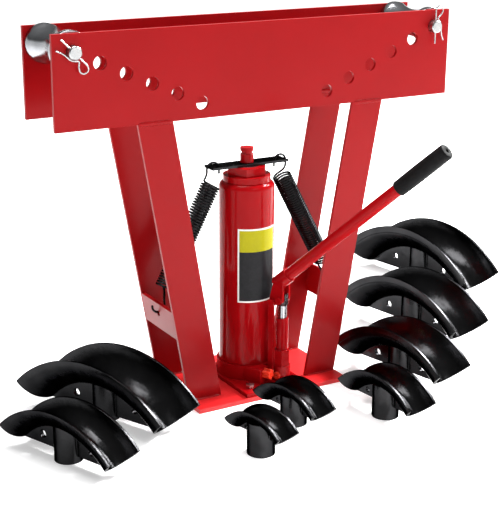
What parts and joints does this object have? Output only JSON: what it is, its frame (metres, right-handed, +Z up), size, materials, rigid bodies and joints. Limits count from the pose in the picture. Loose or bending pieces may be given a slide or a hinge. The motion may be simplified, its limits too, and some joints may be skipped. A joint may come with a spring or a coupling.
{
  "type": "hydraulic pipe bender",
  "caption": "Free-standing hydraulic pipe bender: welded frame with rollers on pins, spring-return bottle jack with pump handle, and a set of grooved bending dies.",
  "frame": {"origin": "middle of the base plate's underside, on the ram's axis", "axes": "+X along the side plates to the right, +Y to the rear, +Z up along the ram"},
  "size_m": [1.1148, 0.7862, 0.6136],
  "materials": {
    "frame_red": "semi-gloss red paint",
    "jack_red": "gloss red paint",
    "valve_red": "gloss orange-red paint",
    "die_black": "gloss black paint over cast iron",
    "spring_black": "black oxide and paint",
    "roller_chrome": "bright plated",
    "zinc": "zinc plated",
    "bright_steel": "ground",
    "seal_rubber": "matt",
    "grip_rubber": "matt foam rubber"
  },
  "bodies": {
    "frame": {"front_plate": "frame_red", "rear_plate": "frame_red", "front_left_leg": "frame_red", "front_right_leg": "frame_red", "rear_left_leg": "frame_red", "rear_right_leg": "frame_red", "base_plate": "frame_red", "left_cross_bar": "frame_red", "right_cross_bar": "frame_red", "left_roller_pin": "zinc", "right_roller_pin": "zinc", "jack_screws": "zinc", "jack_base": "jack_red", "reservoir_tube": "jack_red", "tank_nut": "jack_red", "gland_nut": "jack_red", "pump_cylinder": "jack_red", "lever_links": "jack_red", "overload_plug": "valve_red", "inner_cylinder": "bright_steel", "link_pin": "bright_steel", "fulcrum_pin": "bright_steel", "link_rings": "bright_steel", "check_balls": "bright_steel", "reservoir_seals": "seal_rubber", "ram_wiper": "seal_rubber", "filler_plug": "seal_rubber", "pump_seal": "seal_rubber", "left_spring": "spring_black", "right_spring": "spring_black"},
    "ram": {"ram": "bright_steel", "piston_head": "bright_steel", "piston_seal": "seal_rubber", "ram_nose": "jack_red", "spring_plate": "spring_black"},
    "lever": {"lever": "jack_red"},
    "handle": {"handle_bar": "jack_red", "handle_grip": "grip_rubber"},
    "pump_piston": {"pump_piston": "bright_steel", "piston_pin": "bright_steel", "piston_pin_ring": "bright_steel"},
    "release_valve": {"release_valve": "valve_red"},
    "left_roller": {"left_roller": "roller_chrome"},
    "right_roller": {"right_roller": "roller_chrome"},
    "left_clip": {"left_clip": "zinc"},
    "right_clip": {"right_clip": "zinc"},
    "die_half_inch": {"die_half_inch": "die_black"},
    "die_three_quarter_inch": {"die_three_quarter_inch": "die_black"},
    "die_one_inch": {"die_one_inch": "die_black"},
    "die_one_and_quarter_inch": {"die_one_and_quarter_inch": "die_black"},
    "die_one_and_half_inch": {"die_one_and_half_inch": "die_black"},
    "die_two_inch": {"die_two_inch": "die_black"},
    "die_two_and_half_inch": {"die_two_and_half_inch": "die_black"},
    "die_three_inch": {"die_three_inch": "die_black"}
  },
  "joints": [
    {"name": "ram_lift", "type": "slide", "parent": "frame", "child": "ram", "axis": [0, 0, 1], "range_m": [0, 0.24], "stiffness_N_per_m": 1500, "springref_m": -0.03, "deforming": ["left_spring", "right_spring"]},
    {"name": "lever_swing", "type": "hinge", "parent": "frame", "child": "lever", "pos_m": [0.02736, -0.05146, 0.14955], "axis": [0.8829, 0.4695, 0], "range_deg": [0, 40]},
    {"name": "pump_stroke", "type": "slide", "parent": "frame", "child": "pump_piston", "axis": [0, 0, 1], "range_m": [-0.0092, 0]},
    {"name": "handle_pull", "type": "slide", "parent": "lever", "child": "handle", "axis": [0.3489, -0.6562, 0.6691], "range_m": [0, 0.016]},
    {"name": "release_valve_turn", "type": "hinge", "parent": "frame", "child": "release_valve", "pos_m": [-0.00196, -0.06447, 0.031], "axis": [0.4695, -0.8829, 0], "range_deg": [0, 270]},
    {"name": "left_roller_spin", "type": "hinge", "parent": "frame", "child": "left_roller", "pos_m": [-0.3183, 0, 0.5794], "axis": [0, 1, 0], "continuous": true},
    {"name": "right_roller_spin", "type": "hinge", "parent": "frame", "child": "right_roller", "pos_m": [0.3183, 0, 0.5794], "axis": [0, 1, 0], "continuous": true},
    {"name": "left_clip_pull", "type": "slide", "parent": "frame", "child": "left_clip", "axis": [0.7071, 0, -0.7071], "range_m": [0, 0.045]},
    {"name": "right_clip_pull", "type": "slide", "parent": "frame", "child": "right_clip", "axis": [0, 0, 1], "range_m": [0, 0.045]},
    {"name": "die_half_inch_lift", "type": "slide", "parent": "frame", "child": "die_half_inch", "axis": [0, 0, 1], "range_m": [0, 0.06]},
    {"name": "die_three_quarter_inch_lift", "type": "slide", "parent": "frame", "child": "die_three_quarter_inch", "axis": [0, 0, 1], "range_m": [0, 0.06]},
    {"name": "die_one_inch_lift", "type": "slide", "parent": "frame", "child": "die_one_inch", "axis": [0, 0, 1], "range_m": [0, 0.06]},
    {"name": "die_one_and_quarter_inch_lift", "type": "slide", "parent": "frame", "child": "die_one_and_quarter_inch", "axis": [0, 0, 1], "range_m": [0, 0.06]},
    {"name": "die_one_and_half_inch_lift", "type": "slide", "parent": "frame", "child": "die_one_and_half_inch", "axis": [0, 0, 1], "range_m": [0, 0.06]},
    {"name": "die_two_inch_lift", "type": "slide", "parent": "frame", "child": "die_two_inch", "axis": [0, 0, 1], "range_m": [0, 0.06]},
    {"name": "die_two_and_half_inch_lift", "type": "slide", "parent": "frame", "child": "die_two_and_half_inch", "axis": [0, 0, 1], "range_m": [0, 0.06]},
    {"name": "die_three_inch_lift", "type": "slide", "parent": "frame", "child": "die_three_inch", "axis": [0, 0, 1], "range_m": [0, 0.06]}
  ],
  "couplings": [
    {"joint": "pump_stroke", "follows": "lever_swing", "m_per_rad": -0.012738}
  ]
}
